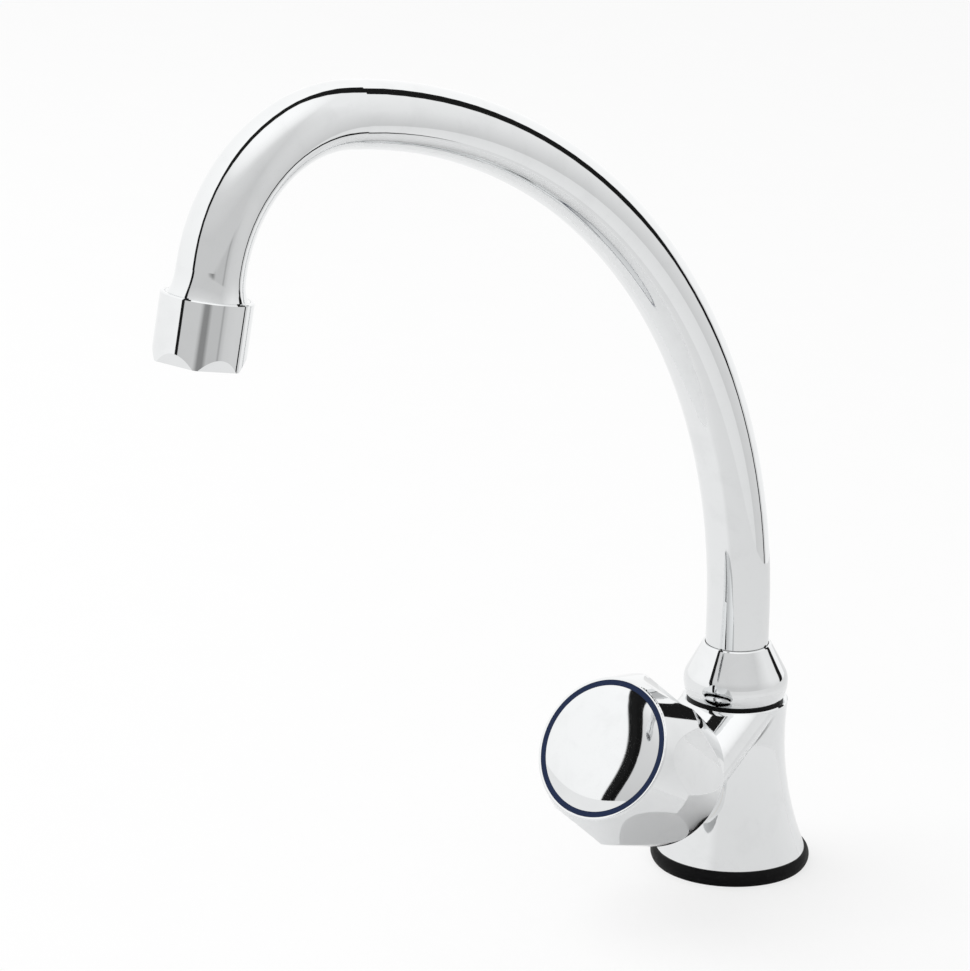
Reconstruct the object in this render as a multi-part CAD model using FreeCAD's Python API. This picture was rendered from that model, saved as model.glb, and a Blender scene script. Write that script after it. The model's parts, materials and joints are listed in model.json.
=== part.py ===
"""Single kitchen tap with a swivelling arched spout and an inclined knob.

Millimetres, Z up.  The origin is the middle of the base at worktop level.
The knob points to the front, along -Y and upwards; the spout rests a little
to one side of it, as it is shown.  Three local frames are used: the upright
body frame, the valve frame along the inclined valve axis (heights called s,
measured from where that axis crosses the upright one) and the spout frame
(reach along +X, swung to the side by the rest angle at the end).
"""
import FreeCAD, Part
import math
import os
from FreeCAD import Placement, Rotation, Vector

# Clearances between pieces
RUNNING = 0.05          # radial clearance of turning and sliding fits
FACE_GAP = 0.05         # axial play between faces that turn on each other
SOFT_GAP = 0.15         # play at the closed washer, so that it only just touches
TUBE_GAP = 0.15         # play of the rings and the nut round the thin tube
CUT_OVER = 1.0          # how far a cut or a joined piece runs past the face that it meets
EDGE = 0.3              # broken outer edges
GROOVE_FACTOR = 1.2     # width of a ring groove against the ring's thickness

# Upright body, one concave arc from the base to the seat of the spout nut
GASKET_H = 4.5
BODY_TOP = 50.0
WAIST_R = 14.65
WAIST_Z = 40.0
FLARE_R = 94.0
SEAT_EDGE = 0.35
RECESS_R = 18.0
RECESS_DEPTH = 3.5
BOSS_R = 14.0
BOSS_Z = 1.0

# Rubber base gasket
GASKET_FOOT_R = 21.9
GASKET_MAX_R = 22.9
GASKET_TOP_R = 22.2
GASKET_BULGE_Z = 2.4
GASKET_BORE_R = 15.5
GASKET_LIP_H = 2.0

# Valve axis and valve housing
VALVE_Z = 14.3
VALVE_TILT = 30.75
HOUSING_R = 15.0
HOUSING_START = 15.5
HOUSING_START_R = 6.6
HOUSING_TAPER_END = 34.0
HOUSING_END = 43.0
WEB_END_S = 36.0
WEB_INSET = 0.1

# Waterways in the body
INLET_R = 4.5
INLET_Y = -3.5
STUD_R = 3.4
STUD_Y = 9.5
STUD_DEPTH = 19.0
SEAT_BORE_R = 5.0
SEAT_RIM_R = 6.2
SEAT_S = 25.0
SEAT_RIM_H = 1.0
CHAMBER_R = 9.0
CHAMBER_END = 31.0
THREAD_R = 10.4
PASSAGE_R = 3.0
PASSAGE_Y = -22.0
PASSAGE_Z = 36.0
PASSAGE_L = 18.0
SPOUT_BORE_R = 8.55
SPOUT_BORE_Z = 32.5
NECK_R = 11.9
NECK_TOP = 56.0

# Valve bonnet
BONNET_END = 34.0
SEAL_T = 1.5
SEAL_R = 13.5
HEX_AF = 24.0
HEX_H = 4.5
NECK_LEN = 6.0
BONNET_NECK_R = 7.5
SPINDLE_R = 4.5
PISTON_AF = 13.0
PISTON_TOP = 40.5
PISTON_FLANGE_R = 8.4
PISTON_FLANGE_H = 2.0
PISTON_FLOOR_T = 1.0
PISTON_THREAD_R = 4.05
WASHER_R = 7.2
WASHER_T = 2.5
SCREW_HEAD_R = 3.4
SCREW_HEAD_H = 1.8
SCREW_SLOT = 1.0
SCREW_SLOT_DEPTH = 0.9
M4_R = 2.0
M4_HOLE_GAP = 0.2
LIFT = 3.75
LIFT_SPARE = 1.0

# Spindle
SPINDLE_FOOT_S = 35.0
COLLAR_R = 5.9
COLLAR_H = 1.8
CLIP_T = 1.0
CLIP_R = 6.5
CLIP_GAP = 4.0
CLIP_GROOVE_R = 3.6
CLIP_PLAY = 0.15
CLIP_LAND = 0.6
DRIVE_AF = 7.0
DRIVE_ANGLE = 45.0
SPINDLE_END = 65.5
SPINDLE_TAP_DEPTH = 9.0
SPINDLE_GROOVE_DEPTH = 1.0
SPINDLE_ORING_S = (49.3, 52.5)

# Knob: outline given as depth behind the ring face and radius
RING_S = 75.04
KNOB_BACK_S = 40.7
COLLAR_FACE_R = 20.3
SHOULDER_DEPTH = 12.0
SHOULDER_R = 24.6
KNOB_BACK_R = 19.8
SCALLOPS = 6
SCALLOP_R = 26.0
SCALLOP_START_DEPTH = 3.0
SCALLOP_START_R = 21.3
SCALLOP_END_R = 19.9
SCALLOP_ANGLE = 18.0
SCALLOP_OVER = 5.0
KNOB_CAVITY_R = 17.2
KNOB_FACE_T = 5.5
RECESS_DEEP = 3.6
HUB_R = 8.0
HUB_BACK_S = 57.4
DRIVE_END_GAP = 0.3
KNOB_SCREW_R = 3.6
KNOB_SCREW_HEAD_H = 2.2
KNOB_SCREW_SINK = 2.6
KNOB_SCREW_SINK_R = 4.0
KNOB_SCREW_L = 8.0
KNOB_SOCKET_AF = 2.5
KNOB_SOCKET_DEPTH = 1.4
KNOB_EDGE = 0.5

# Cold ring and cap
RING_OUT_R = 19.5
RING_IN_R = 18.0
CAP_CROWN = 1.4
CAP_RIM_SLOPE = 15.5    # degrees at the rim
CAP_RIM_PULL = 0.2      # share of the radius over which the rim keeps its slope
CAP_FLAT = 0.6          # share of the radius over which the middle stays flat
CAP_T = 1.3
CAP_SKIRT_T = 1.4

# Spout nut, a smooth round nut on a black ring
NUT_RING_T = 0.9
NUT_RING_R = 13.8
NUT_GAP = 0.05
NUT_FOOT_R = 14.2
NUT_MAX_R = 14.9
NUT_MAX_Z = 55.5
NUT_SHOULDER_R = 6.0
NUT_SLOPE = 28.5        # degrees of the cone from the upright
NUT_TOP = 66.5

# Spout
TUBE_R = 9.0
TUBE_T = 1.0
TUBE_START = 59.15
RISER_TOP = 76.0
ARC_1_R = 166.2
ARC_1_DEG = 83.5
ARC_2_R = 40.5
ARC_2_DEG = 86.1
TAIL = 7.0
SPOUT_ANGLE = 259.6

# Spout foot and its rings
FOOT_Z = 40.0
FOOT_BORE_R = 5.5
FOOT_FLANGE_R = 10.6
FOOT_FLANGE_H = 2.0
FOOT_TOP = 66.0
FOOT_ORING_Z = (43.2, 48.2)
FOOT_ORING_D = 1.9
GLIDE_T = 1.0
GLIDE_CAVITY_R = 10.75

# Outlet: sleeve, shell and insert, along the end of the spout
SHELL_R = 12.0
SHELL_WALL = 1.15
SHELL_RIM = 2.6
SHELL_STEP = 1.45
SHELL_L = 17.3
SHELL_MOUTH_R = SHELL_R - SHELL_RIM
SHELL_LIP = 1.2
SLEEVE_FLARE_R = SHELL_R - SHELL_STEP
SLEEVE_BELL = 0.47
SLEEVE_MID_R = TUBE_R + SLEEVE_BELL
SLEEVE_MID = 3.9
SLEEVE_EDGE = 0.1
SLEEVE_THREAD_R = SHELL_R - SHELL_WALL
SLEEVE_THREAD_L = 7.0
SHELL_FACET_DEPTH = 3.4
SHELL_FACET_CUT = 1.3
SHELL_FACET_OVER = 0.1
SHELL_SIDES = 6
SHELL_ANGLE = 13.0
SEAL_RING_T = 1.4
INSERT_GAP = 0.45
INSERT_R = SLEEVE_THREAD_R - INSERT_GAP
INSERT_T = 1.0
JET_PLATE_T = 1.2
JET_HOLES = 12
JET_HOLE_R = 0.7
JET_INSET = 4.0
JET_CIRCLE_R = INSERT_R - JET_INSET
SCREEN_T = 0.4
SCREEN_GAP = 1.6
SCREENS = 2
SCREEN_RIM = 0.4
SCREEN_ROWS = 7
SCREEN_HOLE = 1.4
SCREEN_PITCH = 2.0


def at(radius, degrees, height=0.0):
    """Point at a radius and angle about the local Z axis."""
    turn = math.radians(degrees)
    return Vector(radius * math.cos(turn), radius * math.sin(turn), height)


def rod(radius, low, high):
    """Upright cylinder between two heights."""
    return Part.makeCylinder(radius, high - low, Vector(0, 0, low))


def tube(outer, inner, low, high):
    """Upright ring or pipe between two heights."""
    return rod(outer, low, high).cut(rod(inner, low - CUT_OVER, high + CUT_OVER))


def bent(stops):
    """Arc through three points, or a cubic curve with four poles."""
    if len(stops) == 3:
        return Part.Arc(*stops).toShape()
    curve = Part.BezierCurve()
    curve.setPoles(stops)
    return curve.toShape()


def outline(points):
    """Closed outline in the XZ plane.

    A point given as (mid, end) makes an arc, and one given as (pole, pole, end)
    a cubic curve.
    """
    edges = []
    here = Vector(points[0][0], 0, points[0][1])
    first = here
    for point in points[1:]:
        if isinstance(point[0], tuple):
            stops = [here] + [Vector(x, 0, z) for x, z in point]
            edges.append(bent(stops))
            end = stops[-1]
        else:
            end = Vector(point[0], 0, point[1])
            edges.append(Part.makeLine(here, end))
        here = end
    if here.distanceToPoint(first) > 1e-6:
        edges.append(Part.makeLine(here, first))
    return Part.Face(Part.Wire(edges))


def turned(points):
    """Solid turned about the Z axis from radius and height pairs."""
    return outline(points).revolve(Vector(0, 0, 0), Vector(0, 0, 1), 360)


def polygon(sides, flats, low, high, angle=0.0, flats_top=None):
    """Prism or pyramid with a regular outline, given across its flats."""
    wires = []
    for across, height in ((flats, low), (flats_top or flats, high)):
        radius = across / 2 / math.cos(math.pi / sides)
        corners = [at(radius, angle + 360.0 * k / sides, height) for k in range(sides)]
        wires.append(Part.makePolygon(corners + corners[:1]))
    return Part.makeLoft(wires, True, True)


def softened(shape, radius):
    """Shape with every edge between two faces rounded."""
    edges = [edge for edge in shape.Edges if len(shape.ancestorsOfType(edge, Part.Face)) == 2]
    return shape.makeFillet(radius, edges)


def torus(middle, thickness, height):
    """Ring of round section, centred on the Z axis."""
    return Part.makeTorus(middle, thickness / 2, Vector(0, 0, height))


def valve_frame():
    """Place of the inclined valve axis in the upright frame."""
    return Placement(Vector(0, 0, VALVE_Z), Rotation(Vector(1, 0, 0), 90 - VALVE_TILT))


def on_valve_axis(shape):
    """Move a piece from the upright frame onto the inclined valve axis."""
    shape.Placement = valve_frame().multiply(shape.Placement)
    return shape


def on_spout(shape):
    """Swing a piece from the reach plane to where the spout rests."""
    shape.Placement = Placement(
        Vector(0, 0, 0), Rotation(Vector(0, 0, 1), SPOUT_ANGLE)
    ).multiply(shape.Placement)
    return shape


def body_radius(z):
    """Radius of the flared body at a height."""
    return WAIST_R + FLARE_R - math.sqrt(FLARE_R ** 2 - (z - WAIST_Z) ** 2)


def spout_points():
    """Ends and middles of the two arcs of the spout's centreline."""
    turn_1 = math.radians(ARC_1_DEG)
    turn_2 = math.radians(ARC_1_DEG + ARC_2_DEG)
    centre_1 = Vector(ARC_1_R, 0, RISER_TOP)

    def on_arc(centre, radius, turn):
        return centre + Vector(-radius * math.cos(turn), 0, radius * math.sin(turn))

    riser = Vector(0, 0, RISER_TOP)
    mid_1 = on_arc(centre_1, ARC_1_R, turn_1 / 2)
    end_1 = on_arc(centre_1, ARC_1_R, turn_1)
    centre_2 = centre_1 + (end_1 - centre_1) * (1 - ARC_2_R / ARC_1_R)
    mid_2 = on_arc(centre_2, ARC_2_R, (turn_1 + turn_2) / 2)
    end_2 = on_arc(centre_2, ARC_2_R, turn_2)
    return riser, mid_1, end_1, mid_2, end_2


def on_outlet(shape):
    """Move a piece from the upright frame to the end of the spout.

    Its local Z runs along the water, from where the tube's arc ends.
    """
    turn = Rotation(Vector(0, 1, 0), ARC_1_DEG + ARC_2_DEG)
    shape.Placement = Placement(spout_points()[-1], turn).multiply(shape.Placement)
    return on_spout(shape)


def half_circle(radius, side, place):
    """Half circle about a frame's Z axis, from +X to -X by the given side."""
    corners = [Vector(radius, 0, 0), Vector(0, side * radius, 0), Vector(-radius, 0, 0)]
    return Part.Arc(*[place.multVec(corner) for corner in corners]).toShape()


def shoulder_web():
    """Hull of straight lines between the nut's seat and a section of the housing."""
    seat_r = body_radius(BODY_TOP) - SEAT_EDGE - WEB_INSET
    seat_frame = Placement(Vector(0, 0, BODY_TOP), Rotation())
    rim_frame = valve_frame().multiply(Placement(Vector(0, 0, WEB_END_S), Rotation()))
    seats = [half_circle(seat_r, side, seat_frame) for side in (-1, 1)]
    rims = [half_circle(HOUSING_R, -side, rim_frame) for side in (-1, 1)]
    faces = [Part.makeRuledSurface(seat, rim) for seat, rim in zip(seats, rims)]
    faces += [Part.Face(Part.Wire(arcs)) for arcs in (seats, rims)]
    shell = Part.makeShell(faces)
    shell.sewShape()
    solid = Part.makeSolid(shell)
    if solid.Volume < 0:
        solid.reverse()
    return solid


def column():
    """Flared upright column."""
    top = BODY_TOP - SEAT_EDGE
    flare = ((WAIST_R, WAIST_Z), (body_radius(top), top))
    return turned([
        (0, GASKET_H), (body_radius(GASKET_H), GASKET_H), flare,
        (body_radius(BODY_TOP) - SEAT_EDGE, BODY_TOP), (0, BODY_TOP),
    ])


def housing():
    """Valve housing: a cylinder that tapers down into the column."""
    return on_valve_axis(turned([
        (0, HOUSING_START), (HOUSING_START_R, HOUSING_START), (HOUSING_R, HOUSING_TAPER_END),
        (HOUSING_R, HOUSING_END), (0, HOUSING_END),
    ]))


def waterway_cuts():
    """Recess, bores and passages of the body, from the base to the spout."""
    seat_back = SEAT_S - SEAT_RIM_H
    return [
        tube(RECESS_R, BOSS_R, GASKET_H - CUT_OVER, GASKET_H + RECESS_DEPTH),
        Part.makeCylinder(INLET_R, VALVE_Z - BOSS_Z, Vector(0, INLET_Y, BOSS_Z)),
        Part.makeCylinder(STUD_R, STUD_DEPTH, Vector(0, STUD_Y, BOSS_Z)),
        Part.makeCylinder(PASSAGE_R, PASSAGE_L, Vector(0, PASSAGE_Y, PASSAGE_Z), Vector(0, 1, 0)),
        rod(SPOUT_BORE_R, SPOUT_BORE_Z, NECK_TOP + CUT_OVER),
        on_valve_axis(rod(SEAT_BORE_R, -CUT_OVER, SEAT_S + CUT_OVER)),
        on_valve_axis(tube(CHAMBER_R, SEAT_RIM_R, seat_back, SEAT_S)),
        on_valve_axis(rod(CHAMBER_R, SEAT_S, CHAMBER_END)),
        on_valve_axis(rod(THREAD_R, CHAMBER_END, HOUSING_END + CUT_OVER)),
    ]


def tap_body():
    """Cast body: flared column, valve housing, waterways, spout neck and base boss."""
    shape = column().fuse(housing())
    shape = shape.fuse(shoulder_web())
    shape = shape.fuse(rod(NECK_R, BODY_TOP - CUT_OVER, NECK_TOP))
    shape = shape.fuse(rod(BOSS_R, BOSS_Z, GASKET_H + CUT_OVER))
    for cut in waterway_cuts():
        shape = shape.cut(cut)
    return shape.removeSplitter()


def base_gasket():
    """Rubber ring between the body and the worktop, with a centring lip."""
    lip_r = RECESS_R - RUNNING
    return turned([
        (GASKET_BORE_R, 0), (GASKET_FOOT_R, 0),
        ((GASKET_MAX_R, GASKET_BULGE_Z), (GASKET_TOP_R, GASKET_H)),
        (lip_r, GASKET_H), (lip_r, GASKET_H + GASKET_LIP_H),
        (GASKET_BORE_R, GASKET_H + GASKET_LIP_H),
    ])


def bonnet():
    """Screwed-in valve bonnet with a hexagon bore that guides the piston."""
    flange = HOUSING_END + SEAL_T
    neck = flange + HEX_H
    top = neck + NECK_LEN
    shape = rod(THREAD_R - RUNNING, BONNET_END, flange)
    shape = shape.fuse([
        polygon(6, HEX_AF, flange, neck),
        rod(BONNET_NECK_R, neck, top),
    ])
    guide_af = PISTON_AF + 4 * RUNNING
    guide = polygon(6, guide_af, BONNET_END - CUT_OVER, collar_top() + FACE_GAP)
    return shape.cut(guide).cut(rod(SPINDLE_R + RUNNING, collar_top(), top + CUT_OVER))


def collar_top():
    """Height of the shoulder that the spindle's collar runs against."""
    return PISTON_TOP + LIFT + LIFT_SPARE + COLLAR_H


def bonnet_top():
    """Height of the bonnet's outer end."""
    return HOUSING_END + SEAL_T + HEX_H + NECK_LEN


def bonnet_seal():
    """Flat seal under the bonnet's hexagon."""
    return tube(SEAL_R, THREAD_R + RUNNING, HOUSING_END, HOUSING_END + SEAL_T)


def clip_low():
    """Inner face of the snap ring, just clear of the bonnet's end."""
    return bonnet_top() + CLIP_PLAY


def spindle():
    """Spindle that turns without rising; its foot is the piston's screw."""
    drive = clip_low() + CLIP_T + CLIP_LAND
    shape = rod(PISTON_THREAD_R - RUNNING, SPINDLE_FOOT_S, collar_top())
    shape = shape.fuse([
        rod(COLLAR_R, collar_top() - COLLAR_H, collar_top()),
        rod(SPINDLE_R, collar_top(), drive),
        polygon(4, DRIVE_AF, drive, SPINDLE_END, DRIVE_ANGLE),
    ])
    half = SPINDLE_GROOVE_DEPTH * GROOVE_FACTOR / 2
    floor_r = SPINDLE_R - SPINDLE_GROOVE_DEPTH
    for height in SPINDLE_ORING_S:
        shape = shape.cut(tube(SPINDLE_R + CUT_OVER, floor_r, height - half, height + half))
    shape = shape.cut(tube(SPINDLE_R + CUT_OVER, CLIP_GROOVE_R, clip_low(), clip_low() + CLIP_T))
    return shape.cut(rod(M4_R, SPINDLE_END - SPINDLE_TAP_DEPTH, SPINDLE_END + CUT_OVER))


def spindle_o_rings():
    """Two rings that fill the depth of the spindle's grooves."""
    middle = SPINDLE_R - SPINDLE_GROOVE_DEPTH / 2
    return Part.makeCompound(
        [torus(middle, SPINDLE_GROOVE_DEPTH, height) for height in SPINDLE_ORING_S])


def spindle_clip():
    """Open snap ring that holds the spindle at the bonnet's end."""
    ring = tube(CLIP_R, CLIP_GROOVE_R + RUNNING, clip_low(), clip_low() + CLIP_T)
    corner = Vector(0, -CLIP_GAP / 2, clip_low() - CUT_OVER)
    return ring.cut(Part.makeBox(CLIP_R + CUT_OVER, CLIP_GAP, CLIP_T + 2 * CUT_OVER, corner))


def washer_top():
    """Height of the washer's back when the valve is closed."""
    return SEAT_S + SOFT_GAP + WASHER_T


def valve_piston():
    """Hexagon piston that the spindle screws up and down."""
    flange_top = washer_top() + PISTON_FLANGE_H
    shape = rod(PISTON_FLANGE_R, washer_top(), flange_top)
    shape = shape.fuse(polygon(6, PISTON_AF, flange_top, PISTON_TOP))
    floor = flange_top + PISTON_FLOOR_T
    shape = shape.cut(rod(PISTON_THREAD_R, floor, PISTON_TOP + CUT_OVER))
    return shape.cut(rod(M4_R, washer_top() - CUT_OVER, floor + CUT_OVER))


def valve_washer():
    """Rubber washer that closes the seat."""
    return tube(WASHER_R, M4_R, washer_top() - WASHER_T, washer_top())


def washer_screw():
    """Slotted screw that holds the washer."""
    face = washer_top() - WASHER_T
    low = face - SCREW_HEAD_H
    shape = rod(SCREW_HEAD_R, low, face)
    shape = shape.fuse(rod(M4_R, face, washer_top() + PISTON_FLANGE_H))
    corner = Vector(-SCREW_HEAD_R - CUT_OVER, -SCREW_SLOT / 2, low - CUT_OVER)
    length = 2 * (SCREW_HEAD_R + CUT_OVER)
    return shape.cut(Part.makeBox(length, SCREW_SLOT, SCREW_SLOT_DEPTH + CUT_OVER, corner))


def scallop():
    """Round cutter for one finger scallop, drawn in towards the back of the knob."""
    start = RING_S - SCALLOP_START_DEPTH
    slope = (SCALLOP_START_R - SCALLOP_END_R) / (start - KNOB_BACK_S)
    rings = []
    for height in (KNOB_BACK_S - SCALLOP_OVER, RING_S + SCALLOP_OVER):
        valley = SCALLOP_START_R + slope * (height - start)
        rings.append(Part.Wire(Part.makeCircle(SCALLOP_R, Vector(valley + SCALLOP_R, 0, height))))
    return Part.makeLoft(rings, True, True)


def screw_seat():
    """Height of the knob screw's head seat."""
    return RING_S - RECESS_DEEP - KNOB_SCREW_SINK


def handle():
    """Hollow knob with six finger scallops, a hub and a recess for the cap."""
    shape = turned([
        (0, KNOB_BACK_S), (KNOB_BACK_R, KNOB_BACK_S), (SHOULDER_R, RING_S - SHOULDER_DEPTH),
        (COLLAR_FACE_R, RING_S), (0, RING_S),
    ])
    for k in range(SCALLOPS):
        groove = scallop()
        turn = 90 - SCALLOP_ANGLE - 360.0 * k / SCALLOPS
        groove.rotate(Vector(0, 0, 0), Vector(0, 0, 1), turn)
        shape = shape.cut(groove)
    shape = softened(shape, KNOB_EDGE)
    face_back = RING_S - RECESS_DEEP - KNOB_FACE_T
    cavity = rod(KNOB_CAVITY_R, KNOB_BACK_S - CUT_OVER, face_back)
    cuts = [
        cavity.cut(rod(HUB_R, HUB_BACK_S, face_back)),
        rod(RING_OUT_R + RUNNING, RING_S - RECESS_DEEP, RING_S + CUT_OVER),
        polygon(4, DRIVE_AF + 2 * RUNNING, HUB_BACK_S - CUT_OVER, SPINDLE_END + DRIVE_END_GAP,
                DRIVE_ANGLE),
        rod(M4_R + M4_HOLE_GAP, SPINDLE_END, RING_S),
        rod(KNOB_SCREW_SINK_R, screw_seat(), RING_S),
    ]
    for cut in cuts:
        shape = shape.cut(cut)
    return shape


def handle_screw():
    """Screw through the knob into the spindle's end, with a hexagon socket."""
    seat = screw_seat()
    top = seat + KNOB_SCREW_HEAD_H
    shape = rod(KNOB_SCREW_R, seat, top)
    shape = shape.fuse(rod(M4_R, SPINDLE_END - KNOB_SCREW_L, seat))
    return shape.cut(polygon(6, KNOB_SOCKET_AF, top - KNOB_SOCKET_DEPTH, top + CUT_OVER))


def cold_ring():
    """Coloured ring round the cap that marks cold water."""
    return tube(RING_OUT_R, RING_IN_R, RING_S - RECESS_DEEP, RING_S)


def crown(radius, rim):
    """Poles of the cap's crown, from its rim to the axis: sloped there, flat here."""
    pull = CAP_RIM_PULL * radius
    top = rim + CAP_CROWN
    return [
        (radius, rim), (radius - pull, rim + pull * math.tan(math.radians(CAP_RIM_SLOPE))),
        (CAP_FLAT * radius, top), (0, top),
    ]


def handle_cap():
    """Low domed cap with a skirt that snaps inside the ring."""
    edge_r = RING_IN_R - RUNNING
    inner_r = edge_r - CAP_SKIRT_T
    floor = RING_S - RECESS_DEEP
    over = crown(edge_r, RING_S)
    under = crown(inner_r, RING_S - CAP_T)[::-1]
    return turned([
        (edge_r, floor), over[0], tuple(over[1:]), under[0], tuple(under[1:]), (inner_r, floor),
    ])


def nut_ring():
    """Black plastic ring that the union nut is screwed down onto."""
    return tube(NUT_RING_R, NECK_R + RUNNING, BODY_TOP, BODY_TOP + NUT_RING_T)


def nut_outline(low):
    """Outline of the round nut: a foot that swells, a rounded shoulder and a cone."""
    rise = NUT_MAX_Z - low - EDGE
    swell = NUT_MAX_R - NUT_FOOT_R
    band_r = (rise ** 2 + swell ** 2) / (2 * swell)
    band_mid_r = NUT_MAX_R - band_r + math.sqrt(band_r ** 2 - (rise / 2) ** 2)
    slope = math.radians(NUT_SLOPE)

    def shoulder(turn):
        return (NUT_MAX_R - NUT_SHOULDER_R * (1 - math.cos(turn)),
                NUT_MAX_Z + NUT_SHOULDER_R * math.sin(turn))

    cone_r, cone_z = shoulder(slope)
    rim_r = cone_r - (NUT_TOP - EDGE - cone_z) * math.tan(slope)
    return [
        (0, low), (NUT_FOOT_R - EDGE, low), (NUT_FOOT_R, low + EDGE),
        ((band_mid_r, NUT_MAX_Z - rise / 2), (NUT_MAX_R, NUT_MAX_Z)),
        (shoulder(slope / 2), (cone_r, cone_z)),
        (rim_r, NUT_TOP - EDGE), (rim_r - EDGE, NUT_TOP), (0, NUT_TOP),
    ]


def spout_nut():
    """Smooth round union nut, hollow for the neck and the spout's flange."""
    low = BODY_TOP + NUT_RING_T + NUT_GAP
    shape = turned(nut_outline(low))
    cavity = glide_top() + FACE_GAP
    shape = shape.cut(rod(NECK_R + RUNNING, low - CUT_OVER, NECK_TOP + EDGE))
    shape = shape.cut(rod(GLIDE_CAVITY_R, NECK_TOP, cavity))
    return shape.cut(rod(TUBE_R + TUBE_GAP, NECK_TOP, NUT_TOP + CUT_OVER))


def flange_low():
    """Underside of the flange on the spout's foot."""
    return NECK_TOP + GLIDE_T + 2 * FACE_GAP


def glide_top():
    """Top of the upper glide ring, below the nut's shoulder."""
    return flange_low() + FOOT_FLANGE_H + GLIDE_T + FACE_GAP


def spout_foot():
    """Turned foot of the spout: grooved spigot, flange and tube socket."""
    low = flange_low()
    shape = rod(SPOUT_BORE_R - RUNNING, FOOT_Z, low)
    shape = shape.fuse([
        rod(FOOT_FLANGE_R, low, low + FOOT_FLANGE_H),
        rod(TUBE_R - TUBE_T, low + FOOT_FLANGE_H, FOOT_TOP),
    ])
    half = FOOT_ORING_D * GROOVE_FACTOR / 2
    for height in FOOT_ORING_Z:
        shape = shape.cut(tube(SPOUT_BORE_R, foot_groove_r(), height - half, height + half))
    return shape.cut(rod(FOOT_BORE_R, FOOT_Z - CUT_OVER, FOOT_TOP + CUT_OVER))


def foot_groove_r():
    """Radius at the bottom of the foot's ring grooves."""
    return SPOUT_BORE_R - RUNNING - FOOT_ORING_D


def spout_o_rings():
    """Two rings that seal the spout's foot in the body."""
    middle = foot_groove_r() + FOOT_ORING_D / 2
    rings = [torus(middle, FOOT_ORING_D, height) for height in FOOT_ORING_Z]
    return on_spout(Part.makeCompound(rings))


def slip_washer():
    """Plastic washer between the neck and the foot's flange."""
    return tube(FOOT_FLANGE_R, SPOUT_BORE_R + RUNNING, NECK_TOP, NECK_TOP + GLIDE_T)


def glide_ring():
    """Plastic ring between the foot's flange and the nut."""
    return tube(FOOT_FLANGE_R, TUBE_R + TUBE_GAP, glide_top() - GLIDE_T, glide_top())


def spout_tube():
    """Bent spout tube with its full bore."""
    start = Vector(0, 0, TUBE_START)
    riser, mid_1, end_1, mid_2, end_2 = spout_points()
    path = Part.Wire([
        Part.makeLine(start, riser),
        Part.Arc(riser, mid_1, end_1).toShape(),
        Part.Arc(end_1, mid_2, end_2).toShape(),
    ])
    solids = []
    for radius in (TUBE_R, TUBE_R - TUBE_T):
        section = Part.Wire(Part.makeCircle(radius, start))
        solids.append(path.makePipeShell([section], True, False))
    return solids[0].cut(solids[1])


def outlet_sleeve():
    """Flared sleeve brazed to the tube, threaded for the outlet shell."""
    thread_end = TAIL + SLEEVE_THREAD_L
    inner = TUBE_R - TUBE_T
    flare = ((SLEEVE_MID_R, SLEEVE_MID), (SLEEVE_FLARE_R, TAIL - SLEEVE_EDGE))
    return on_outlet(turned([
        (inner, 0), (TUBE_R, 0), flare, (SLEEVE_THREAD_R - RUNNING, TAIL),
        (SLEEVE_THREAD_R - RUNNING, thread_end), (inner, thread_end),
    ]))


def aerator_shell():
    """Screwed outlet shell with six slanted wrench faces at its mouth."""
    low = TAIL
    mouth = TAIL + SHELL_L
    shape = turned([
        (SLEEVE_THREAD_R, low), (SHELL_R - EDGE, low), (SHELL_R, low + EDGE),
        (SHELL_R, mouth), (SHELL_MOUTH_R, mouth), (SHELL_MOUTH_R, mouth - SHELL_LIP),
        (SLEEVE_THREAD_R, mouth - SHELL_LIP),
    ])
    top_af = 2 * (SHELL_R + SHELL_FACET_OVER)
    low_af = 2 * (SHELL_R - SHELL_FACET_CUT)
    slope = (top_af - low_af) / SHELL_FACET_DEPTH
    faces = polygon(SHELL_SIDES, top_af + slope * (SHELL_L - SHELL_FACET_DEPTH), low, mouth,
                    SHELL_ANGLE, low_af)
    return on_outlet(shape.common(faces))


def seal_low():
    """Where the outlet's flat ring starts, at the sleeve's end."""
    return TAIL + SLEEVE_THREAD_L


def insert_end():
    """Mouth end of the insert, on the shell's inner lip."""
    return TAIL + SHELL_L - SHELL_LIP


def aerator_seal():
    """Flat rubber ring between the sleeve and the insert."""
    low = seal_low()
    return on_outlet(tube(INSERT_R, TUBE_R - TUBE_T, low, low + SEAL_RING_T))


def aerator_insert():
    """Plastic barrel of the insert."""
    low = seal_low() + SEAL_RING_T
    return on_outlet(tube(INSERT_R, INSERT_R - INSERT_T, low, insert_end()))


def jet_plate():
    """Holed plate that makes the water jets."""
    low = seal_low() + SEAL_RING_T
    plate = rod(INSERT_R - INSERT_T, low, low + JET_PLATE_T)
    for k in range(JET_HOLES):
        middle = at(JET_CIRCLE_R, 360.0 * k / JET_HOLES, low - CUT_OVER)
        plate = plate.cut(Part.makeCylinder(JET_HOLE_R, JET_PLATE_T + 2 * CUT_OVER, middle))
    return on_outlet(plate)


def aerator_screens():
    """Two thin nets across the insert's mouth."""
    mouth = insert_end() - SCREEN_T
    return on_outlet(Part.makeCompound([net(mouth - k * SCREEN_GAP) for k in range(SCREENS)]))


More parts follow.
